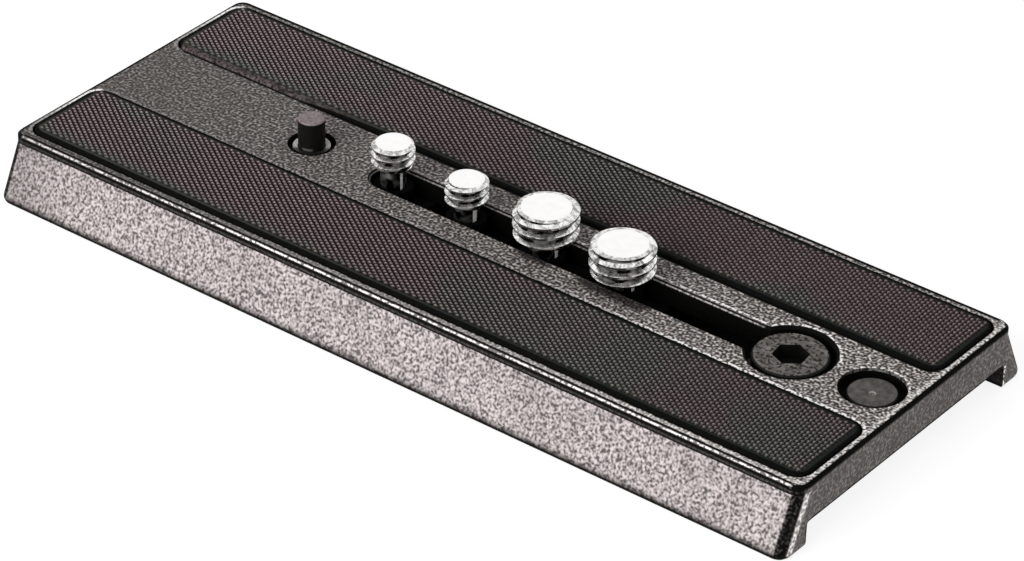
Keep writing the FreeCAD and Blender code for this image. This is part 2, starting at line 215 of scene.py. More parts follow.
class Finish:
    """A node material that is put together a node at a time."""

    def __init__(self, name):
        self.material = bpy.data.materials.new(name)
        self.material.use_nodes = True
        self.tree = self.material.node_tree
        self.shader = self.tree.nodes["Principled BSDF"]
        self.place = self.tree.nodes.new("ShaderNodeTexCoord").outputs["Object"]

    def link(self, value, socket):
        if hasattr(value, "is_linked"):
            self.tree.links.new(value, socket)
        else:
            socket.default_value = value

    def noise(self, size, detail=2.0, distortion=0.0):
        """Noise whose grains are about this size."""
        node = self.tree.nodes.new("ShaderNodeTexNoise")
        self.link(self.place, node.inputs["Vector"])
        node.inputs["Scale"].default_value = 1 / size
        node.inputs["Detail"].default_value = detail
        node.inputs["Distortion"].default_value = distortion
        return node.outputs["Fac"]

    def ramp(self, value, low, high, out_low=0.0, out_high=1.0):
        """A value spread from one range onto another, held at both ends."""
        node = self.tree.nodes.new("ShaderNodeMapRange")
        self.link(value, node.inputs["Value"])
        self.link(low, node.inputs["From Min"])
        self.link(high, node.inputs["From Max"])
        self.link(out_low, node.inputs["To Min"])
        self.link(out_high, node.inputs["To Max"])
        return node.outputs["Result"]

    def fall(self, value, low, high):
        """1 below a range and 0 above it."""
        return self.ramp(value, low, high, 1.0, 0.0)

    def math(self, operation, first, second=0.0):
        node = self.tree.nodes.new("ShaderNodeMath")
        node.operation = operation
        self.link(first, node.inputs[0])
        self.link(second, node.inputs[1])
        return node.outputs[0]

    def chain(self, operation, values):
        """One sum over several values."""
        total = values[0]
        for value in values[1:]:
            total = self.math(operation, total, value)
        return total

    def plus(self, *values):
        return self.chain("ADD", values)

    def product(self, *values):
        return self.chain("MULTIPLY", values)

    def largest(self, *values):
        return self.chain("MAXIMUM", values)

    def minus(self, first, second):
        return self.math("SUBTRACT", first, second)

    def absolute(self, value):
        return self.math("ABSOLUTE", value)

    def hypotenuse(self, across, along):
        return self.math("SQRT", self.plus(self.product(across, across), self.product(along, along)))

    def band(self, value, low, high, soft):
        """1 between two limits, falling to 0 over a soft edge on both sides."""
        return self.product(
            self.ramp(value, low - soft, low + soft), self.fall(value, high - soft, high + soft))

    def line(self, distance, low, high, soft, *stretches):
        """Line between two distances from an outline, kept to the stretches where it shows."""
        return self.product(self.band(distance, low, high, soft), *stretches)

    def mix(self, amount, first, second):
        """One colour laid over another by an amount."""
        node = self.tree.nodes.new("ShaderNodeMix")
        node.data_type = "RGBA"
        self.link(amount, node.inputs["Factor"])
        self.link(first if hasattr(first, "is_linked") else (*first, 1.0), node.inputs["A"])
        self.link(second if hasattr(second, "is_linked") else (*second, 1.0), node.inputs["B"])
        return node.outputs["Result"]

    def split(self, vector):
        node = self.tree.nodes.new("ShaderNodeSeparateXYZ")
        self.link(vector, node.inputs[0])
        return node.outputs

    def facing(self):
        """The surface's own direction, as x, y and z."""
        geometry = self.tree.nodes.new("ShaderNodeNewGeometry")
        return self.split(geometry.outputs["Normal"])

    def distance_from_slab(self, across, along, half_across, half_along, corner):
        """Distance outside a rounded rectangle, negative inside it."""
        across = self.minus(self.absolute(across), half_across - corner)
        along = self.minus(self.absolute(along), half_along - corner)
        outside = self.hypotenuse(self.largest(across, 0.0), self.largest(along, 0.0))
        inside = self.math("MINIMUM", self.largest(across, along), 0.0)
        return self.minus(self.plus(outside, inside), corner)

    def distance_from_disc(self, x, y, middle_x, radius):
        """Distance outside a circle on the centre line."""
        return self.minus(self.hypotenuse(self.minus(x, middle_x), y), radius)

    def along(self, x, y, way):
        """How far a spot lies along a level direction."""
        return self.plus(self.product(x, way[0]), self.product(y, way[1]))

    def bump(self, height, distance, strength=1.0):
        node = self.tree.nodes.new("ShaderNodeBump")
        node.inputs["Strength"].default_value = strength
        node.inputs["Distance"].default_value = distance
        self.link(height, node.inputs["Height"])
        self.link(node.outputs["Normal"], self.shader.inputs["Normal"])

    def colour(self, value):
        self.link(value, self.shader.inputs["Base Color"])

    def roughness(self, grain, low, high):
        """Roughness that follows the grain of the surface."""
        self.link(self.ramp(grain, 0.3, 0.7, low, high), self.shader.inputs["Roughness"])

    def set(self, socket, value):
        self.shader.inputs[socket].default_value = value


class PlateSpot:
    """A spot of the plate: its place, the way it faces, its grain and how far it lies from each outline."""

    def __init__(self, finish):
        self.x, self.y, self.z = finish.split(finish.place)
        self.normal_x, self.normal_y, self.normal_z = finish.facing()
        self.lengthwise = finish.absolute(self.normal_x)
        self.sideways = finish.absolute(self.normal_y)
        self.half_x = finish.absolute(self.x)
        self.half_y = finish.absolute(self.y)
        self.coarse = finish.noise(0.41 * mm, detail=0.3, distortion=0.3)
        self.fine = finish.noise(0.43 * mm, detail=0.2)
        self.speck = finish.ramp(self.coarse, 0.30, 0.70)
        self.fleck = finish.math("POWER", finish.ramp(self.fine, 0.30, 0.70), 2.2)

        # Stretches of the plate, 1 inside and 0 outside
        self.on_top = finish.ramp(self.normal_z, 0.75, 0.95)
        self.on_side = finish.ramp(self.sideways, 0.3, 0.6)
        self.on_flank = finish.ramp(self.sideways, 0.78, 0.88)
        self.on_end_face = finish.ramp(self.lengthwise, 0.90, 0.93)
        self.deck_level = finish.ramp(self.z, deck_top - 0.5 * mm, deck_top - 0.47 * mm)
        self.near_half = finish.fall(self.y, -1 * mm, 1 * mm)
        self.far_half = finish.ramp(self.y, -1 * mm, 1 * mm)
        self.at_ends = finish.ramp(self.half_x, 67.9 * mm, 68.4 * mm)
        self.between_ends = finish.fall(self.half_x, 67.9 * mm, 68.4 * mm)

        # Distances outside the outline of the deck, a pocket, the slot with its keyhole, and the recess
        self.from_rim = finish.distance_from_slab(
            self.y, self.x, deck_half_width, plate_half_length - edge_bevel, corner_radius - edge_bevel)
        from_pocket_middle = finish.minus(self.half_y, pocket_middle)
        self.from_pocket = finish.distance_from_slab(
            from_pocket_middle, self.x, pocket_half_width, pocket_half_length, pocket_corner_radius)
        self.across_pocket = finish.product(from_pocket_middle, finish.math("SIGN", self.y))
        from_slot_middle = finish.minus(self.x, (slot_left + keyhole_x) / 2)
        slot_half_length = (keyhole_x - slot_left) / 2
        self.from_slot = finish.math(
            "MINIMUM",
            finish.distance_from_slab(
                self.y, from_slot_middle, slot_half_width, slot_half_length, slot_half_width * 0.999),
            finish.distance_from_disc(self.x, self.y, keyhole_x, keyhole_radius))
        self.from_recess = finish.distance_from_disc(self.x, self.y, rivet_x, rivet_recess_radius)


def grained_paint(finish, spot):
    """Grey paint: a strong grain on the flanks and the right of the deck, a calm one at its left; the deck is
    painted lighter towards the right and the flank darker towards its left end, as painted light and shade.
    """
    flank_paint = finish.mix(spot.speck, (0.110, 0.096, 0.095), (0.70, 0.625, 0.62))
    # Painted light: the light flecks of the deck grow lighter towards the right end.
    light_fleck = finish.mix(finish.ramp(spot.x, 0.0, 58 * mm), (0.62, 0.57, 0.54), (0.98, 0.905, 0.865))
    lit_deck_paint = finish.mix(spot.fleck, (0.030, 0.027, 0.025), light_fleck)
    shaded_deck_paint = finish.mix(spot.fleck, (0.056, 0.051, 0.047), (0.37, 0.346, 0.325))
    # Painted light and shade: the deck goes from the shaded calm paint at the left to the lit lively paint at the
    # right.
    deck_paint = finish.mix(finish.ramp(spot.x, -62 * mm, -10 * mm), shaded_deck_paint, lit_deck_paint)
    end_paint = finish.mix(spot.fleck, (0.13, 0.119, 0.112), (0.40, 0.375, 0.355))
    paint = finish.mix(spot.on_top, end_paint, deck_paint)
    paint = finish.mix(spot.on_flank, paint, flank_paint)
    # Painted shade: the flank darkens towards its left end.
    flank_shade_left = finish.product(spot.on_flank, finish.ramp(spot.x, -70 * mm, -52 * mm, 0.34, 0.0))
    paint = finish.mix(flank_shade_left, paint, (0.09, 0.08, 0.078))
    blotches = finish.noise(6.0 * mm, detail=2.0)
    return finish.mix(finish.ramp(blotches, 0.4, 0.75, 0.0, 0.22), paint, (0.09, 0.08, 0.075))


def painted_thread_shadows(finish, spot):
    """Painted shadows on the deck where the wide threads overhang it."""
    from_middle = finish.plus(spot.y, 3.0 * mm)
    small_thread_shadow = finish.distance_from_slab(
        from_middle, finish.minus(spot.x, 9.0 * mm), 1.4 * mm, 3.0 * mm, 1.39 * mm)
    large_thread_shadow = finish.distance_from_slab(
        from_middle, finish.minus(spot.x, 23.0 * mm), 2.2 * mm, 6.4 * mm, 2.19 * mm)
    thread_shadow = finish.ramp(finish.math("MINIMUM", small_thread_shadow, large_thread_shadow), -0.5 * mm, 0.9 * mm, 0.9, 0.0)
    return finish.product(thread_shadow, spot.on_top)


def lit_and_worn_edges(finish, spot):
    """Painted highlights, also taken as worn bare metal, along the edges of the pockets, the slot, the recess and
    the deck that face the light.
    """
    behind_pad = finish.largest(
        finish.ramp(spot.across_pocket, 5 * mm, 7 * mm), finish.fall(spot.x, -67 * mm, -66 * mm))
    pocket_highlight_share = finish.largest(
        finish.product(finish.ramp(spot.x, 8 * mm, 34 * mm, 0.15, 1.0), spot.near_half),
        finish.product(spot.far_half, 0.2))
    behind_slot = finish.ramp(spot.y, 0.5 * mm, 3.0 * mm)
    pocket_edge = finish.line(spot.from_pocket, 0.15 * mm, 0.6 * mm, 0.08 * mm, behind_pad, pocket_highlight_share)
    slot_edge = finish.line(
        spot.from_slot, mouth_bevel + 0.05 * mm, mouth_bevel + 0.45 * mm, 0.08 * mm, behind_slot,
        finish.ramp(spot.x, -15 * mm, 42 * mm, 0.10, 1.0))
    slot_mouth = finish.line(
        spot.from_slot, 0.02 * mm, 0.14 * mm, 0.05 * mm, behind_slot,
        finish.fall(spot.x, 42 * mm, 43.5 * mm), finish.ramp(spot.x, -15 * mm, 35 * mm, 0.03, 0.3))
    recess_edge = finish.line(spot.from_recess, 0.02 * mm, 0.35 * mm, 0.06 * mm, behind_slot, 0.8)
    long_rim = finish.line(
        spot.from_rim, 0.13 * mm, 0.28 * mm, 0.05 * mm, spot.between_ends,
        finish.ramp(spot.y, -1 * mm, 1 * mm, 0.9, 0.08), finish.ramp(spot.x, -66 * mm, -35 * mm, 0.55, 1.0))
    right_rim = finish.line(
        spot.from_rim, -0.6 * mm, -0.1 * mm, 0.08 * mm, spot.at_ends,
        finish.ramp(spot.x, -1 * mm, 1 * mm, 0.0, 0.6))
    rubbed = finish.largest(pocket_edge, slot_edge, slot_mouth, recess_edge, long_rim, right_rim)
    rubbed = finish.product(rubbed, finish.ramp(spot.fine, 0.40, 0.52, 0.12, 1.0))
    left_rim = finish.line(
        spot.from_pocket, 0.10 * mm, 0.60 * mm, 0.05 * mm,
        finish.fall(spot.x, -68.2 * mm, -67.6 * mm), finish.ramp(spot.x, -69.30 * mm, -69.24 * mm),
        finish.ramp(spot.across_pocket, -7.5 * mm, 3 * mm, 0.2, 1.0),
        finish.ramp(spot.fine, 0.36, 0.46, 0.5, 1.0))
    return finish.product(finish.largest(rubbed, left_rim), spot.deck_level)


def rail_edge_highlight(finish, spot):
    """Painted highlight, also taken as bare metal, on the end faces down the inner edge of the far rail."""
    return finish.product(
        spot.on_end_face, finish.band(spot.half_y, rail_inner + 0.10 * mm, rail_inner + 0.50 * mm, 0.06 * mm),
        finish.fall(spot.z, deck_under - 0.3 * mm, deck_under - 0.1 * mm), spot.far_half,
        finish.ramp(spot.coarse, 0.42, 0.54))


def worn_strip(finish, spot):
    """Strip of the deck along its near edge and its right end, where the paint is thin."""
    near_strip = finish.ramp(spot.y, -23.9 * mm, -23.8 * mm, 0.9, 0.0)
    right_strip = finish.ramp(spot.x, 60 * mm, 68 * mm, 0.0, 0.45)
    return finish.line(
        spot.from_rim, -0.92 * mm, -0.32 * mm, 0.1 * mm, finish.largest(near_strip, right_strip),
        spot.deck_level)


def worn_paint(finish, spot):
    """Thin paint of the worn strip, painted lighter towards the right as painted light."""
    light_change_to_right = finish.ramp(spot.x, -55 * mm, 50 * mm)
    dark = finish.mix(light_change_to_right, (0.065, 0.061, 0.058), (0.46, 0.44, 0.42))
    light = finish.mix(light_change_to_right, (0.26, 0.245, 0.232), (1.0, 0.96, 0.93))
    return finish.mix(spot.fleck, dark, light)


def bright_strip(finish, spot):
    """Strip on the end faces beside the near flank, where the light catches the corner."""
    below_lip = finish.minus(lip_foot, spot.z)
    flank_y = finish.plus(finish.product(below_lip, flank_slope), lip_half_width)
    from_flank = finish.minus(flank_y, spot.half_y)
    return finish.product(
        spot.on_end_face, finish.band(from_flank, 0.9 * mm, 2.3 * mm, 0.2 * mm), spot.near_half,
        finish.fall(spot.z, lip_foot, lip_foot + 0.2 * mm))


def painted_edge_shade(finish, spot):
    """Painted shade, black, along the edges of the deck, the slot and the pockets."""
    painted_shade = finish.largest(
        finish.line(spot.from_rim, -0.28 * mm, 0.08 * mm, 0.06 * mm, spot.between_ends),
        finish.line(
            spot.from_rim, -0.55 * mm, 0.3 * mm, 0.08 * mm,
            finish.ramp(spot.y, 23.9 * mm, 24.0 * mm)),
        finish.line(
            spot.from_rim, -0.36 * mm, 0.3 * mm, 0.05 * mm,
            finish.fall(spot.x, -69.1 * mm, -69.0 * mm)),
        finish.line(spot.from_rim, 0.34 * mm, 0.60 * mm, 0.04 * mm, spot.between_ends),
        finish.line(
            spot.from_rim, -0.02 * mm, 0.5 * mm, 0.05 * mm,
            finish.ramp(spot.lengthwise, 0.05, 0.12)),
        finish.band(spot.from_slot, 0.14 * mm, 0.34 * mm, 0.05 * mm),
        finish.line(
            spot.from_slot, -0.1 * mm, 0.40 * mm, 0.03 * mm,
            finish.ramp(spot.x, 43.5 * mm, 44.0 * mm)),
        finish.band(spot.from_pocket, -0.3 * mm, 0.06 * mm, 0.04 * mm),
        finish.line(
            spot.from_pocket, -0.3 * mm, 0.34 * mm, 0.04 * mm, spot.far_half,
            finish.fall(spot.across_pocket, -7 * mm, -6 * mm), finish.ramp(spot.x, -67 * mm, -66 * mm)))
    return finish.product(painted_shade, spot.deck_level)


def painted_side_shade(finish, spot):
    """Painted shade and dark reflection, black, on the lip, the corners, the toes, the insides and the outline of
    the end faces.
    """
    upright = finish.fall(spot.normal_z, 0.2, 0.4)
    lip_middle = finish.band(spot.z, lip_foot + 0.3 * mm, lip_foot + 0.65 * mm, 0.12 * mm)
    lip = finish.product(
        finish.ramp(spot.z, lip_foot - 0.2 * mm, lip_foot + 0.1 * mm), upright, spot.on_side,
        finish.ramp(lip_middle, 0.0, 1.0, 1.0, 0.88))
    end_lip = finish.product(finish.ramp(spot.z, lip_foot + 0.65 * mm, lip_foot + 0.8 * mm), upright, 0.85)
    corner = finish.product(
        finish.ramp(spot.lengthwise, 0.16, 0.28), finish.fall(spot.lengthwise, 0.86, 0.90),
        finish.fall(spot.normal_z, 0.55, 0.7), finish.ramp(spot.coarse, 0.45, 0.68, 1.0, 0.86))
    toe = finish.product(finish.fall(spot.z, 0.9 * mm, 1.9 * mm), spot.on_side)
    bores = finish.product(
        finish.ramp(spot.z, channel_roof - 0.1 * mm, channel_roof - 0.05 * mm),
        finish.ramp(spot.normal_z, -0.6, -0.3),
        finish.fall(spot.z, deck_top - mouth_bevel - 0.02 * mm, deck_top - mouth_bevel),
        finish.fall(spot.half_y, 24.0 * mm, 24.4 * mm),
        finish.fall(spot.half_x, 69.0 * mm, 69.3 * mm))
    inward = finish.product(spot.normal_y, finish.math("SIGN", spot.y), -1.0)
    rail_walls = finish.product(
        finish.ramp(inward, 0.35, 0.6),
        finish.ramp(spot.z, deck_under + 0.4 * mm, deck_under + 0.5 * mm, 0.93, 0.0))
    end_outline = finish.product(spot.on_end_face, finish.largest(
        finish.line(
            spot.z, deck_under - 0.1 * mm, deck_under + 0.25 * mm, 0.06 * mm,
            finish.fall(spot.half_y, rail_inner - 0.35 * mm, rail_inner - 0.15 * mm)),
        finish.fall(spot.z, 0.22 * mm, 0.34 * mm),
        finish.product(
            finish.fall(spot.half_y, rail_inner + 0.20 * mm, rail_inner + 0.35 * mm), spot.near_half,
            finish.fall(spot.z, deck_under - 0.3 * mm, deck_under - 0.1 * mm))))
    return finish.largest(lip, end_lip, corner, toe, bores, rail_walls, end_outline)


def crinkle_paint():
    """Grey crinkle paint on the casting, with painted highlights, partly bare metal, along some edges and black
    painted shade along others.
    """
    finish = Finish("crinkle_paint")
    spot = PlateSpot(finish)
    worn = worn_strip(finish, spot)
    strip = bright_strip(finish, spot)
    painted_shade = finish.largest(painted_edge_shade(finish, spot), painted_side_shade(finish, spot))
    # Painted highlights along edges that face the light, also taken as bare metal.
    rubbed = finish.largest(lit_and_worn_edges(finish, spot), rail_edge_highlight(finish, spot))
    paint = finish.mix(worn, grained_paint(finish, spot), worn_paint(finish, spot))
    # Painted shadows of the wide threads darken the deck in front of them.
    paint = finish.mix(painted_thread_shadows(finish, spot), paint, (0.010, 0.007, 0.007))
    # Painted highlight on the end faces beside the near flank.
    paint = finish.mix(strip, paint, finish.mix(spot.speck, (0.40, 0.37, 0.36), (1.0, 0.97, 0.95)))
    # Painted shade turns the edges, the lip, the corners, the toes and the insides black.
    paint = finish.mix(painted_shade, paint, (0.0035, 0.0035, 0.003))
    finish.colour(finish.mix(rubbed, paint, (0.92, 0.90, 0.88)))
    finish.roughness(spot.coarse, 0.66, 0.46)

    # Bare metal where the paint is rubbed through, and on the painted highlights of the edges and the corner
    worn_through = finish.ramp(spot.x, -20 * mm, 50 * mm, 0.03, 0.85)
    bare = finish.largest(
        finish.product(rubbed, 0.9),
        finish.product(worn, finish.ramp(spot.fine, 0.40, 0.53), worn_through),
        finish.product(strip, finish.ramp(spot.coarse, 0.46, 0.56), 0.85))
    finish.link(bare, finish.shader.inputs["Metallic"])
    finish.link(finish.ramp(painted_shade, 0.0, 1.0, 0.12, 0.02), finish.shader.inputs["Specular IOR Level"])
    height = finish.plus(spot.coarse, finish.product(spot.fine, 0.5))
    finish.bump(height, 0.14 * mm, 0.8)
    return finish.material


def moulded_rubber():
    """Black rubber with a brown cast, painted pale on the tips of the pyramids as painted highlight, and black in
    their hollows and along its rim as painted shade.
    """
    finish = Finish("moulded_rubber")
    x, y, z = finish.split(finish.place)
    grain = finish.noise(0.6 * mm, detail=3.0)
    drift = finish.noise(24.0 * mm, detail=1.0)
    height = finish.ramp(z, pad_top - pyramid_height, pad_top)
    # Painted highlight: the tips of the pyramids pale, and towards the right pale columns across them; painted
    # shade: their hollows black.
    tip = finish.math("POWER", height, 2.3)
    column_highlight = finish.math("COSINE", finish.product(x, 4 * math.pi / pyramid_long_diagonal))
    ridge = finish.product(finish.math("POWER", finish.ramp(column_highlight, -1.0, 1.0), 2.0), 0.45)
    tip = finish.ramp(finish.ramp(x, 5 * mm, 60 * mm, 0.0, 0.6), 0.0, 1.0, tip, ridge)
    tip = finish.product(tip, finish.ramp(grain, 0.3, 0.7, 0.45, 1.0))
    greener = finish.ramp(drift, 0.54, 0.68)
    brown = finish.mix(greener, (0.052, 0.034, 0.036), (0.036, 0.038, 0.032))
    base = finish.mix(finish.ramp(height, 0.16, 0.70), (0.002, 0.0016, 0.0016), brown)
    # Painted light: the highlight on the tips dims towards the right.
    light_change_to_right = finish.ramp(x, -60 * mm, 50 * mm, 1.0, 0.62)
    peak_highlight = finish.mix(light_change_to_right, brown, finish.mix(greener, (0.95, 0.735, 0.735), (0.80, 0.765, 0.71)))
    colour = finish.mix(tip, base, peak_highlight)

    # Smooth border: a shoulder painted black as shade, and along the near side a greenish strip inside it
    side = finish.minus(finish.absolute(y), pocket_middle)
    pad_y = finish.product(side, finish.math("SIGN", y))
    rim = finish.distance_from_slab(
        side, x, pocket_half_width - pad_gap, pocket_half_length - pad_gap, pocket_corner_radius - pad_gap)
    near = finish.fall(pad_y, -6.9 * mm, -6.0 * mm)
    green = finish.product(
        finish.fall(pad_y, -6.3 * mm, -4.4 * mm), finish.ramp(x, -50 * mm, 0.0, 0.8, 0.25))
    colour = finish.mix(green, colour, finish.mix(height, (0.018, 0.020, 0.017), (0.20, 0.215, 0.19)))
    border = finish.mix(finish.ramp(x, -40 * mm, 30 * mm), (0.050, 0.050, 0.045), (0.019, 0.022, 0.019))
    border = finish.mix(finish.ramp(x, -68.0 * mm, -67.8 * mm, 0.9, 0.0), border, (0.003, 0.003, 0.003))
    far_left = finish.product(
        near, finish.ramp(y, -1 * mm, 1 * mm), finish.fall(x, -47 * mm, -28 * mm),
        finish.ramp(x, -67.8 * mm, -67.0 * mm))
    dust = finish.ramp(finish.noise(0.45 * mm), 0.38, 0.62)
    border = finish.mix(far_left, border, finish.mix(dust, (0.022, 0.018, 0.017), (0.145, 0.12, 0.115)))
    flat = finish.product(finish.fall(height, 0.0, 0.06), finish.ramp(rim, -1.25 * mm, -1.1 * mm))
    colour = finish.mix(flat, colour, border)
    # The shoulder is painted black as shade.
    shoulder_start = finish.ramp(near, 0.0, 1.0, -0.55 * mm, -0.80 * mm)
    shoulder_start = finish.ramp(far_left, 0.0, 1.0, shoulder_start, 0.1 * mm)
    shoulder = finish.ramp(finish.minus(rim, shoulder_start), 0.0, 0.12 * mm)
    colour = finish.mix(shoulder, colour, (0.002, 0.002, 0.0018))
    finish.colour(colour)
    finish.roughness(grain, 0.9, 0.7)
    finish.set("Specular IOR Level", 0.05)
    finish.bump(grain, 0.03 * mm, 0.5)
    return finish.material


def bright_nickel():
    """Bright nickel plate."""
    finish = Finish("bright_nickel_plate")
    finish.set("Metallic", 1.0)
    haze = finish.noise(1.4 * mm, detail=3.0)
    finish.colour(finish.mix(finish.ramp(haze, 0.35, 0.7), (0.985, 0.975, 0.97), (0.94, 0.93, 0.925)))
    finish.roughness(haze, 0.12, 0.22)
    finish.bump(finish.noise(0.3 * mm, detail=2.0), 0.01 * mm, 0.3)
    return finish.material


def nickel_painted_reflection(name, dark, light):
    """Nickel painted with grey streaks as painted reflection, on the sloping rim of a screw's tip and the upper
    sides of its thread.
    """
    finish = Finish(name)
    finish.set("Metallic", 1.0)
    streaks = finish.noise(0.9 * mm, detail=3.0, distortion=1.0)
    finish.colour(finish.mix(finish.ramp(streaks, 0.36, 0.60), dark, light))
    finish.roughness(streaks, 0.3, 0.18)
    finish.bump(streaks, 0.02 * mm, 0.4)
    return finish.material


def painted_thread_shade():
    """Painted shade, dark with paler patches, at the bottom of the threads and on the neck."""
    finish = Finish("painted_thread_shade")
    finish.set("Metallic", 1.0)
    shade_mottle = finish.noise(1.5 * mm, detail=1.5)
    finish.colour(finish.mix(finish.ramp(shade_mottle, 0.46, 0.60), (0.010, 0.010, 0.009), (0.42, 0.415, 0.41)))
    finish.roughness(shade_mottle, 0.22, 0.36)
    finish.bump(shade_mottle, 0.02 * mm, 0.4)
    return finish.material


def painted_neck_highlight():
    """Painted highlight of pale nickel, a narrow streak down the neck."""
    finish = Finish("painted_neck_highlight")
    finish.set("Metallic", 0.2)
    highlight_mottle = finish.noise(0.5 * mm, detail=2.0)
    finish.colour(finish.mix(finish.ramp(highlight_mottle, 0.3, 0.65), (0.80, 0.79, 0.77), (1.0, 1.0, 0.98)))
    finish.roughness(highlight_mottle, 0.5, 0.4)
    finish.bump(highlight_mottle, 0.01 * mm, 0.3)
    return finish.material


def black_oxide():
    """Blackened steel of the pin, rubbed to a mauve grey on its flat end, with a painted highlight in a grey band
    near its foot.
    """
    finish = Finish("black_oxide_steel")
    x, y, z = finish.split(finish.place)
    grain = finish.noise(0.8 * mm, detail=3.0, distortion=1.5)
    top = finish.ramp(finish.facing()[2], 0.5, 0.75)
    rubbed = finish.mix(finish.ramp(grain, 0.35, 0.65), (0.22, 0.175, 0.18), (0.36, 0.30, 0.305))
    # Painted highlight: a grey band round the foot of the pin, on one side.
    sideways = finish.along(finish.minus(x, pin_x), y, bush_highlight_way)
    foot = finish.line(
        z, deck_top - 0.25 * mm, deck_top + 0.12 * mm, 0.08 * mm,
        finish.band(sideways, -1.3 * mm, 0.2 * mm, 0.15 * mm))
    side = finish.mix(foot, (0.004, 0.0035, 0.003), (0.09, 0.085, 0.08))
    finish.colour(finish.mix(top, side, rubbed))
    finish.roughness(grain, 0.6, 0.45)
    finish.set("Specular IOR Level", 0.12)
    finish.bump(grain, 0.02 * mm, 0.4)
    return finish.material


def bush_metal():
    """Dark bush with painted pale reflections on the two sides of the pin."""
    finish = Finish("bush_metal")
    x, y = finish.split(finish.place)[:2]
    from_pin = finish.minus(x, pin_x)
    grain = finish.noise(0.5 * mm, detail=3.0)
    to_the_front = finish.along(from_pin, y, bush_front_way)
    to_the_side = finish.absolute(finish.along(from_pin, y, bush_highlight_way))
    pale_reflection = finish.product(
        finish.ramp(to_the_side, 1.75 * mm, 2.05 * mm), finish.ramp(grain, 0.3, 0.6, 0.7, 1.0),
        finish.fall(to_the_front, 0.3 * mm, 1.1 * mm))
    finish.colour(finish.mix(pale_reflection, (0.004, 0.004, 0.0035), (0.60, 0.59, 0.55)))
    finish.roughness(grain, 0.5, 0.36)
    finish.bump(grain, 0.02 * mm, 0.4)
    return finish.material


def stop_finish():
    """Mottled dark grey of the keyhole stop, painted black as shade inside its socket and down its side."""
    finish = Finish("stop_finish")
    x, y, z = finish.split(finish.place)
    cloud = finish.noise(1.3 * mm, detail=3.0, distortion=0.6)
    pits = finish.noise(0.55 * mm, detail=2.0)
    face = finish.mix(finish.ramp(cloud, 0.35, 0.68), (0.095, 0.086, 0.079), (0.25, 0.232, 0.215))
    face = finish.mix(finish.product(finish.ramp(pits, 0.53, 0.58), 0.95), face, (0.010, 0.008, 0.007))
    from_face = finish.distance_from_disc(x, y, keyhole_x, stop_face_radius)
    top = finish.product(
        finish.ramp(finish.facing()[2], 0.35, 0.6), finish.ramp(z, 9.6 * mm, 9.7 * mm),
        finish.fall(from_face, -0.06 * mm, 0.06 * mm))
    finish.colour(finish.mix(top, (0.004, 0.004, 0.0035), face))
    finish.roughness(cloud, 0.6, 0.45)
    finish.set("Specular IOR Level", 0.12)
    finish.bump(finish.plus(cloud, pits), 0.05 * mm, 0.6)
    return finish.material


def rivet_finish():
    """Smooth dark grey of the rivet's head, with a rubbed ring round its dimple, and painted black as shade down
    its side.
    """
    finish = Finish("rivet_finish")
    x, y, z = finish.split(finish.place)
    cloud = finish.noise(0.9 * mm, detail=3.0)
    face = finish.mix(finish.ramp(cloud, 0.35, 0.68), (0.070, 0.065, 0.060), (0.15, 0.14, 0.13))
    from_dimple = finish.distance_from_disc(x, y, rivet_x, rivet_dimple_radius)
    ring = finish.band(from_dimple, -0.12 * mm, 0.08 * mm, 0.06 * mm)
    heart = finish.fall(from_dimple, -0.36 * mm, -0.26 * mm)
    rubbed = finish.product(finish.largest(ring, heart), finish.ramp(cloud, 0.3, 0.55, 0.5, 1.0))
    face = finish.mix(rubbed, face, (0.42, 0.40, 0.38))
    from_face = finish.distance_from_disc(x, y, rivet_x, rivet_face_radius)
    top = finish.product(
        finish.ramp(finish.facing()[2], 0.35, 0.6), finish.ramp(z, 9.1 * mm, 9.15 * mm),
        finish.fall(from_face, -0.06 * mm, 0.06 * mm))
    finish.colour(finish.mix(top, (0.004, 0.004, 0.0035), face))
    finish.roughness(cloud, 0.55, 0.42)
    finish.set("Specular IOR Level", 0.12)
    finish.bump(cloud, 0.03 * mm, 0.5)
    return finish.material


def dull_steel(name, low, high, rough, top_shade=0.0):
    """Grey steel with a cloudy surface, and black painted shade, by a given amount, on the faces that look up."""
    finish = Finish(name)
    finish.set("Metallic", 0.85)
    cloud = finish.noise(0.8 * mm, detail=3.0)
    steel = finish.mix(finish.ramp(cloud, 0.3, 0.7), low, high)
    painted_top_shade = finish.ramp(finish.facing()[2], 0.3, 0.6, 0.0, top_shade)
    finish.colour(finish.mix(painted_top_shade, steel, (0.006, 0.006, 0.005)))
    finish.roughness(cloud, rough + 0.08, rough - 0.06)
    finish.bump(cloud, 0.02 * mm, 0.4)
    return finish.material


def matt_black(name, shade):
    """Matt black rubber or nylon of the hidden rings and washers."""
    finish = Finish(name)
    grain = finish.noise(0.5 * mm, detail=2.0)
    dark = (shade, shade, shade)
    light = (shade * 1.8, shade * 1.7, shade * 1.7)
    finish.colour(finish.mix(finish.ramp(grain, 0.3, 0.7), dark, light))
    finish.roughness(grain, 0.9, 0.75)
    finish.set("Specular IOR Level", 0.02)
    finish.bump(grain, 0.02 * mm, 0.4)
    return finish.material


def dress(piece, *materials):
    """Puts these materials in a piece's slots."""
    piece.data.materials.clear()
    for material in materials:
        piece.data.materials.append(material)


# Grip pads

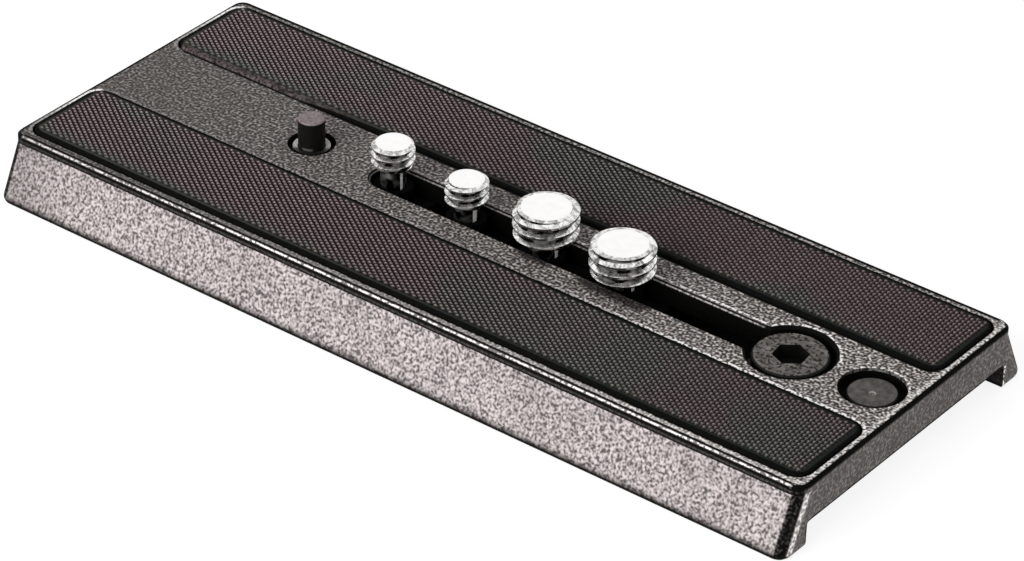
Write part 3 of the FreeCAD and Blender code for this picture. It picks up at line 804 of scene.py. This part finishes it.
def pad_block(name, middle_y, length, width):
    """Smooth rubber block with rounded corners and a rounded top edge."""
    block_top = pad_top - pyramid_height
    deselect_all()
    bpy.ops.mesh.primitive_cube_add(
        size=1, location=(0, middle_y, (pad_bottom + block_top) / 2),
        scale=(length, width, block_top - pad_bottom))
    piece = named(name)
    place_in_mesh(piece)
    start_edit(piece, "EDGE")
    select_edges(piece, lambda a, b: abs(a.z - b.z) > 0.5 * mm)
    bpy.ops.mesh.bevel(offset=pocket_corner_radius - pad_gap, segments=8, affect="EDGES", clamp_overlap=False)
    select_edges(piece, lambda a, b: min(a.z, b.z) > block_top - 0.01 * mm)
    bpy.ops.mesh.bevel(offset=pad_edge_rounding, segments=4, affect="EDGES", clamp_overlap=False)
    end_edit()
    return piece


def pyramid_field(name, middle_y, length, width):
    """Sheet of low pyramids in slanting rows, trimmed to whole pyramids inside the smooth border."""
    half_length = length / 2 - pad_border
    half_width = (width - pad_front_border - pad_border) / 2
    middle_y += (pad_front_border - pad_border) / 2
    corner = pocket_corner_radius - pad_gap - pad_border
    rows = 2 * math.ceil(half_length / pyramid_long_diagonal + half_width / pyramid_short_diagonal) + 2
    floor = pad_top - pyramid_height
    deselect_all()
    bpy.ops.mesh.primitive_grid_add(
        x_subdivisions=rows, y_subdivisions=rows, size=rows, rotation=(0, 0, math.radians(45)))
    piece = named(name)
    place_in_mesh(piece)
    start_edit(piece)
    bpy.ops.mesh.select_all(action="SELECT")
    side = math.sqrt(2)
    bpy.ops.transform.resize(value=(pyramid_long_diagonal / side, pyramid_short_diagonal / side, 1))
    bpy.ops.transform.translate(value=(0, middle_y, floor))
    margin_x = half_length - pyramid_long_diagonal / 2
    margin_y = half_width - pyramid_short_diagonal / 2

    def is_outside(centre, normal):
        x = abs(centre.x)
        y = abs(centre.y - middle_y)
        if x > margin_x or y > margin_y:
            return True
        cut_x = x - (half_length - corner)
        cut_y = y - (half_width - corner)
        return cut_x > 0 and cut_y > 0 and math.hypot(cut_x, cut_y) > corner - pyramid_short_diagonal / 2

    select_faces(piece, is_outside)
    bpy.ops.mesh.delete(type="FACE")
    bpy.ops.mesh.select_all(action="SELECT")
    bpy.ops.mesh.extrude_region_move(TRANSFORM_OT_translate={"value": (0, 0, -field_depth)})
    bpy.ops.mesh.select_all(action="SELECT")
    bpy.ops.mesh.normals_make_consistent(inside=False)
    select_faces(piece, lambda centre, normal: centre.z > floor - 0.1 * mm and normal.z > 0.9)
    bpy.ops.mesh.poke(offset=pyramid_height)
    select_faces(piece, lambda centre, normal: normal.z < -0.9)
    bpy.ops.mesh.dissolve_limited(angle_limit=math.radians(1))
    end_edit()
    return piece


def grip_pad(name, middle_y):
    """Rubber pad with its field of pyramids."""
    length = 2 * (pocket_half_length - pad_gap)
    width = 2 * (pocket_half_width - pad_gap)
    block = pad_block(name + "_block", middle_y, length, width)
    smooth(block)
    field = pyramid_field(name + "_field", middle_y, length, width)
    return join([block, field], name)


# Spring of the anti-twist pin

def coil_spring(name):
    """Tapered spring of round wire, whose coils nest when it is pressed flat."""
    low = spring_foot + spring_gap + spring_wire / 2
    high = spring_top - spring_wire / 2
    deselect_all()
    bpy.ops.mesh.primitive_plane_add(size=spring_wire, location=(0, 0, 0))
    piece = named(name)
    start_edit(piece, "VERT")
    bpy.ops.mesh.select_all(action="SELECT")
    bpy.ops.mesh.merge(type="CENTER")
    bpy.ops.transform.translate(value=(spring_wide / 2, 0, 0))
    end_edit()
    rise = (high - low) / spring_turns
    apply_modifier(piece, "SCREW", axis="Z", screw_offset=rise, iterations=spring_turns, steps=32, render_steps=32)
    apply_modifier(piece, "SIMPLE_DEFORM", deform_method="TAPER", deform_axis="Z",
                   factor=spring_narrow / spring_wide - 1)
    bpy.ops.object.convert(target="CURVE")
    piece.data.bevel_depth = spring_wire / 2
    piece.data.bevel_resolution = 3
    piece.data.use_fill_caps = True
    bpy.ops.object.convert(target="MESH")
    piece.location = (pin_x, 0, low)
    place_in_mesh(piece)
    start_edit(piece)
    bpy.ops.mesh.select_all(action="SELECT")
    bpy.ops.mesh.remove_doubles(threshold=0.001 * mm)
    bpy.ops.mesh.normals_make_consistent(inside=False)
    end_edit()
    smooth(piece, 50)
    return piece


# Camera screws

def turned_blank(name, radius, bottom, top, bevels, segments=1, sides=96):
    """Upright cylinder with its lower and upper edges bevelled."""
    deselect_all()
    bpy.ops.mesh.primitive_cylinder_add(
        vertices=sides, radius=radius, depth=top - bottom, location=(0, 0, (bottom + top) / 2))
    piece = named(name)
    place_in_mesh(piece)
    for level, bevel in zip((bottom, top), bevels):
        if bevel > 0:
            start_edit(piece, "EDGE")
            select_edges(piece, lambda a, b: abs(a.z - level) < 1e-7 and abs(b.z - level) < 1e-7)
            bpy.ops.mesh.bevel(offset=bevel, segments=segments, affect="EDGES", clamp_overlap=False)
            end_edit()
    return piece


def slope_tip(blank, radius, top, width):
    """Turns the rim of the upper face into a low cone that leaves a flat disc in the middle."""
    start_edit(blank)
    select_faces(blank, lambda centre, normal: normal.z > 0.9)
    bpy.ops.mesh.inset(thickness=width)
    bpy.ops.mesh.select_mode(type="EDGE")
    bpy.ops.mesh.select_all(action="DESELECT")

    def on_outer_edge(a, b):
        return min(a.z, b.z) > top - 0.01 * mm and min(a.xy.length, b.xy.length) > radius * 0.99

    select_edges(blank, on_outer_edge)
    bpy.ops.transform.translate(value=(0, 0, -tip_drop))
    end_edit()


def thread_rod(name, major_radius, pitch, bottom, top):
    """Rod with a helical thread: one ridge, wound upwards and cut square at both ends."""
    depth = thread_depth * pitch
    root = major_radius - depth
    crest_top = pitch * (1 + crest_share) / 2
    root_start = pitch * (1 - root_share / 2)
    shade_level = root_start - shade_share * (root_start - crest_top)
    ridge = [
        (root, 0.0),
        (root, pitch * root_share / 2),
        (major_radius, pitch * (1 - crest_share) / 2),
        (major_radius, crest_top),
        (root + shade_share * depth, shade_level),
        (root, root_start),
        (root, pitch),
    ]
    deselect_all()
    bpy.ops.mesh.primitive_plane_add(size=pitch, location=(0, 0, 0))
    piece = named(name)
    start_edit(piece, "VERT")
    bpy.ops.mesh.select_all(action="SELECT")
    bpy.ops.mesh.merge(type="CENTER")
    bpy.ops.transform.translate(value=(ridge[0][0], 0, ridge[0][1]))
    for before, after in zip(ridge, ridge[1:]):
        step = (after[0] - before[0], 0, after[1] - before[1])
        bpy.ops.mesh.extrude_region_move(TRANSFORM_OT_translate={"value": step})
    end_edit()
    turns = math.ceil((top - bottom) / pitch) + 3
    apply_modifier(piece, "SCREW", axis="Z", screw_offset=pitch, iterations=turns, steps=64, render_steps=64,
                   use_smooth_shade=False)
    start_edit(piece)
    bpy.ops.mesh.select_all(action="SELECT")
    bpy.ops.mesh.remove_doubles(threshold=0.002 * mm)
    bpy.ops.transform.translate(value=(0, 0, bottom - turns_below * pitch))
    for level, way in ((bottom, -1), (top, 1)):
        bpy.ops.mesh.select_all(action="SELECT")
        bpy.ops.mesh.bisect(
            plane_co=(0, 0, level), plane_no=(0, 0, way), use_fill=True, clear_outer=True,
            threshold=0.0001 * mm)
    bpy.ops.mesh.select_all(action="SELECT")
    bpy.ops.mesh.normals_make_consistent(inside=False)
    end_edit()
    return piece


def milled_head(name, radius, bottom, top):
    """Low head with a milled rim and a coin slot across its lower face."""
    head = turned_blank(name, radius, bottom, top, head_bevels, 2, 72)
    start_edit(head)
    select_faces(head, lambda centre, normal: abs(normal.z) < 0.1)
    bpy.ops.mesh.inset(thickness=milling_gap, depth=-milling_depth, use_individual=True)
    end_edit()
    deselect_all()
    bpy.ops.mesh.primitive_cube_add(
        size=1, location=(0, 0, bottom), scale=(3 * radius, coin_slot_width, 2 * coin_slot_depth))
    slot = named(name + "_slot")
    place_in_mesh(slot)
    apply_modifier(head, "BOOLEAN", operation="DIFFERENCE", object=slot, solver="EXACT")
    bpy.data.objects.remove(slot)
    return head


def lay_finish(piece, number, test):
    """Gives the faces that pass a test the finish in one of the piece's slots."""
    start_edit(piece)
    select_faces(piece, test)
    piece.active_material_index = number
    bpy.ops.object.material_slot_assign()
    end_edit()


def camera_screw(name, sizes, tip):
    """Camera screw on the upright axis: a wound thread, a slim neck and a milled head."""
    thread_end = tip - sizes["thread_length"]
    rod = thread_rod(name + "_rod", sizes["major_radius"], sizes["pitch"], thread_end, tip)
    foot = tip - sizes["whole_length"]
    head_top = foot + sizes["head_thickness"]
    blank_radius = sizes["major_radius"] + crest_clearance
    blank = turned_blank(name + "_blank", blank_radius, thread_end, tip, (thread_foot_bevel, 0))
    slope_tip(blank, blank_radius, tip, sizes["tip_slope"])
    apply_modifier(rod, "BOOLEAN", operation="INTERSECT", object=blank, solver="EXACT")
    bpy.data.objects.remove(blank)
    neck = turned_blank(
        name + "_neck", sizes["neck_radius"], head_top - 0.2 * mm, thread_end + 0.3 * mm, (0, 0), 1, 48)
    head = milled_head(name + "_head", sizes["head_radius"], foot, head_top)
    for addition in (neck, head):
        apply_modifier(rod, "BOOLEAN", operation="UNION", object=addition, solver="EXACT")
        bpy.data.objects.remove(addition)
    start_edit(rod)
    bpy.ops.mesh.select_all(action="SELECT")
    bpy.ops.mesh.remove_doubles(threshold=0.001 * mm)
    end_edit()
    dress(rod, nickel, thread_shade, neck_highlight, nickel_rim, nickel_side)
    shade_reach = sizes["major_radius"] - thread_depth * sizes["pitch"] * (1 - shade_share)
    disc_radius = blank_radius - sizes["tip_slope"]
    slope_foot = tip - tip_drop - 0.02 * mm

    def in_thread_shade(centre, normal):
        if not head_top + 0.02 * mm < centre.z < tip - 0.05 * mm:
            return False
        return centre.xy.length < shade_reach and not (centre.z > slope_foot and normal.z > 0.3)

    def on_tip_slope(centre, normal):
        return centre.z > slope_foot and 0.3 < normal.z < 0.99 and centre.xy.length > disc_radius * 0.99

    def on_thread_side(centre, normal):
        return thread_end < centre.z < slope_foot and 0.3 < normal.z < 0.99 and centre.xy.length > shade_reach

    lay_finish(rod, 1, in_thread_shade)
    lay_finish(rod, 3, on_tip_slope)
    lay_finish(rod, 4, on_thread_side)
    return named(name)


def seat_screw(screw, sizes, first_tip, node, body, turn):
    """Turns a screw, sets it in the place of its solid and paints a highlight down the right side of its neck."""
    lowest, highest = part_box(node)
    neck_foot = lowest[2] + sizes["head_thickness"]
    neck_top = highest[2] - sizes["thread_length"]
    screw.rotation_euler = (0, 0, math.radians(turn))
    screw.location = ((lowest[0] + highest[0]) / 2, 0, highest[2] - first_tip)
    place_in_mesh(screw)

    def on_neck_highlight(centre, normal):
        if not neck_foot < centre.z < neck_top or abs(normal.z) > 0.1:
            return False
        turned = math.degrees(math.atan2(normal.y, normal.x))
        return abs(turned - highlight_turn) < highlight_half_turn

    lay_finish(screw, 2, on_neck_highlight)
    smooth(screw, 28)
    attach(screw, body)
    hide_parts(node)


def seat_pair(sizes, places):
    """Models one kind of camera screw, copies it and seats both; a place is name, node, body and turn."""
    lowest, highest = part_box(places[0][1])
    first_tip = highest[2]
    sizes["whole_length"] = first_tip - lowest[2]
    first = camera_screw(places[0][0], sizes, first_tip)
    second = copied(first, places[1][0])
    for screw, (name, node, body, turn) in zip((first, second), places):
        seat_screw(screw, sizes, first_tip, node, body, turn)


# Making the pieces

paint = crinkle_paint()
rubber = moulded_rubber()
nickel = bright_nickel()
oxide = black_oxide()
nickel_rim = nickel_painted_reflection("dulled_nickel_rim", (0.30, 0.295, 0.29), (0.90, 0.89, 0.88))
nickel_side = nickel_painted_reflection("dulled_nickel_thread", (0.17, 0.17, 0.165), (0.97, 0.965, 0.955))
thread_shade = painted_thread_shade()
neck_highlight = painted_neck_highlight()
bush_steel = bush_metal()
spring_steel = dull_steel("spring_wire", (0.40, 0.39, 0.37), (0.60, 0.58, 0.55), 0.32)
zinc = dull_steel("zinc_plate", (0.34, 0.34, 0.33), (0.50, 0.50, 0.48), 0.42, 1.0)
stop_paint = stop_finish()
rivet_paint = rivet_finish()
ring_rubber = matt_black("ring_rubber_black", 0.0015)
nylon = matt_black("black_nylon_washer", 0.006)

dress(nodes["plate_body"], paint)
dress(nodes["anti_twist_pin"], oxide)
dress(nodes["pin_bush"], bush_steel)
dress(nodes["pin_cap"], zinc)
dress(nodes["keyhole_stop_screw"], stop_paint)
dress(nodes["keyhole_stop_strip"], zinc)
dress(nodes["stop_rivet"], rivet_paint)
for number in range(1, 5):
    dress(nodes["friction_ring_%d" % number], ring_rubber)
    dress(nodes["head_washer_%d" % number], nylon)

near_pad = grip_pad("near_pad", -pocket_middle)
dress(near_pad, rubber)
far_pad = copied(near_pad, "far_pad")
far_pad.location = (0, 2 * pocket_middle, 0)
place_in_mesh(far_pad)
for pad, node in ((near_pad, "grip_pad_near"), (far_pad, "grip_pad_far")):
    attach(pad, "plate")
    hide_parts(node)

coil = coil_spring("pin_coil")
dress(coil, spring_steel)
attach(coil, "plate")
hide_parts("pin_spring")
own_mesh(coil)

quarter_sizes = {
    "major_radius": 3.175 * mm, "pitch": 1.27 * mm, "thread_length": 3.9 * mm, "tip_slope": 0.65 * mm,
    "neck_radius": 1.85 * mm, "head_radius": 5.5 * mm, "head_thickness": 3.0 * mm}
three_eighths_sizes = {
    "major_radius": 4.7625 * mm, "pitch": 1.5875 * mm, "thread_length": 4.8 * mm, "tip_slope": 1.15 * mm,
    "neck_radius": 2.3 * mm, "head_radius": 6.05 * mm, "head_thickness": 3.1 * mm}
seat_pair(quarter_sizes, [
    ("small_screw_left", "quarter_inch_screw_1", "screw_1", 20),
    ("small_screw_right", "quarter_inch_screw_2", "screw_2", 75)])
seat_pair(three_eighths_sizes, [
    ("large_screw_left", "three_eighths_screw_1", "screw_3", 140),
    ("large_screw_right", "three_eighths_screw_2", "screw_4", 200)])


# Floor, light and camera

def seen_straight(tree):
    """1 for what the camera, a mirror or glass sees, 0 for light that falls on the object."""
    path = tree.nodes.new("ShaderNodeLightPath")
    total = None
    for name in ("Is Camera Ray", "Is Glossy Ray", "Is Transmission Ray"):
        if total is None:
            total = path.outputs[name]
            continue
        adder = tree.nodes.new("ShaderNodeMath")
        adder.operation = "ADD"
        adder.use_clamp = True
        tree.links.new(total, adder.inputs[0])
        tree.links.new(path.outputs[name], adder.inputs[1])
        total = adder.outputs[0]
    return total


def studio_floor():
    """White floor that keeps a soft shadow beside the plate, with a deep shade painted under it."""
    deselect_all()
    bpy.ops.mesh.primitive_plane_add(size=4.0, location=(0, 0, -0.02 * mm))
    floor = named("studio_floor")
    place_in_mesh(floor)
    finish = Finish("white_floor")
    x, y = finish.split(finish.place)[:2]
    seen = seen_straight(finish.tree)
    # Painted shade: under the plate the floor is dark and gives no light.
    shade_under_plate = finish.product(
        finish.fall(finish.absolute(x), 56 * mm, 62 * mm),
        finish.fall(finish.absolute(y), 20 * mm, 23 * mm))
    shade = finish.mix(shade_under_plate, (0.3, 0.3, 0.3), (0.02, 0.02, 0.02))
    finish.colour(finish.mix(seen, (0.8, 0.8, 0.8), shade))
    finish.set("Roughness", 0.9)
    finish.set("Specular IOR Level", 0.0)
    finish.set("Emission Color", (1.0, 1.0, 1.0, 1.0))
    lit = finish.minus(1.0, shade_under_plate)
    finish.link(finish.product(seen, lit, 0.86), finish.shader.inputs["Emission Strength"])
    dress(floor, finish.material)


def studio_world():
    """White surroundings for the eye and for the metal, plainer light for the rest."""
    world = bpy.data.worlds.new("studio")
    bpy.context.scene.world = world
    world.use_nodes = True
    tree = world.node_tree
    soft = tree.nodes["Background"]
    soft.inputs["Color"].default_value = (1.0, 1.0, 1.0, 1.0)
    soft.inputs["Strength"].default_value = 0.38
    white = tree.nodes.new("ShaderNodeBackground")
    white.inputs["Color"].default_value = (1.0, 1.0, 1.0, 1.0)
    white.inputs["Strength"].default_value = 1.0
    blend = tree.nodes.new("ShaderNodeMixShader")
    tree.links.new(seen_straight(tree), blend.inputs[0])
    tree.links.new(soft.outputs[0], blend.inputs[1])
    tree.links.new(white.outputs[0], blend.inputs[2])
    tree.links.new(blend.outputs[0], tree.nodes["World Output"].inputs["Surface"])


def sun(name, towards, strength, spread):
    """Distant lamp that shines along a direction."""
    lamp = bpy.data.lights.new(name, "SUN")
    lamp.energy = strength
    lamp.angle = math.radians(spread)
    holder = bpy.data.objects.new(name, lamp)
    bpy.context.scene.collection.objects.link(holder)
    holder.rotation_euler = Vector(towards).to_track_quat("-Z", "Y").to_euler()


def photo_camera():
    """Camera at the photograph's own viewpoint."""
    right = Vector((0.7878, 0.6157, 0.0185))
    up = Vector((-0.3494, 0.4219, 0.8366))
    back = Vector((0.5073, -0.6655, 0.5475))
    lens = bpy.data.cameras.new("photo_camera")
    lens.lens = 162.5
    lens.sensor_width = 36.0
    lens.sensor_fit = "HORIZONTAL"
    lens.clip_start = 0.01
    holder = bpy.data.objects.new("photo_camera", lens)
    bpy.context.scene.collection.objects.link(holder)
    turn = Matrix((right, up, back)).transposed()
    holder.matrix_world = Matrix.Translation((0.3354, -0.4367, 0.3612)) @ turn.to_4x4()
    bpy.context.scene.camera = holder


studio_floor()
studio_world()
sun("front", (0.22, 0.93, -0.30), 3.0, 60)
photo_camera()
bpy.context.scene.view_settings.view_transform = "Standard"
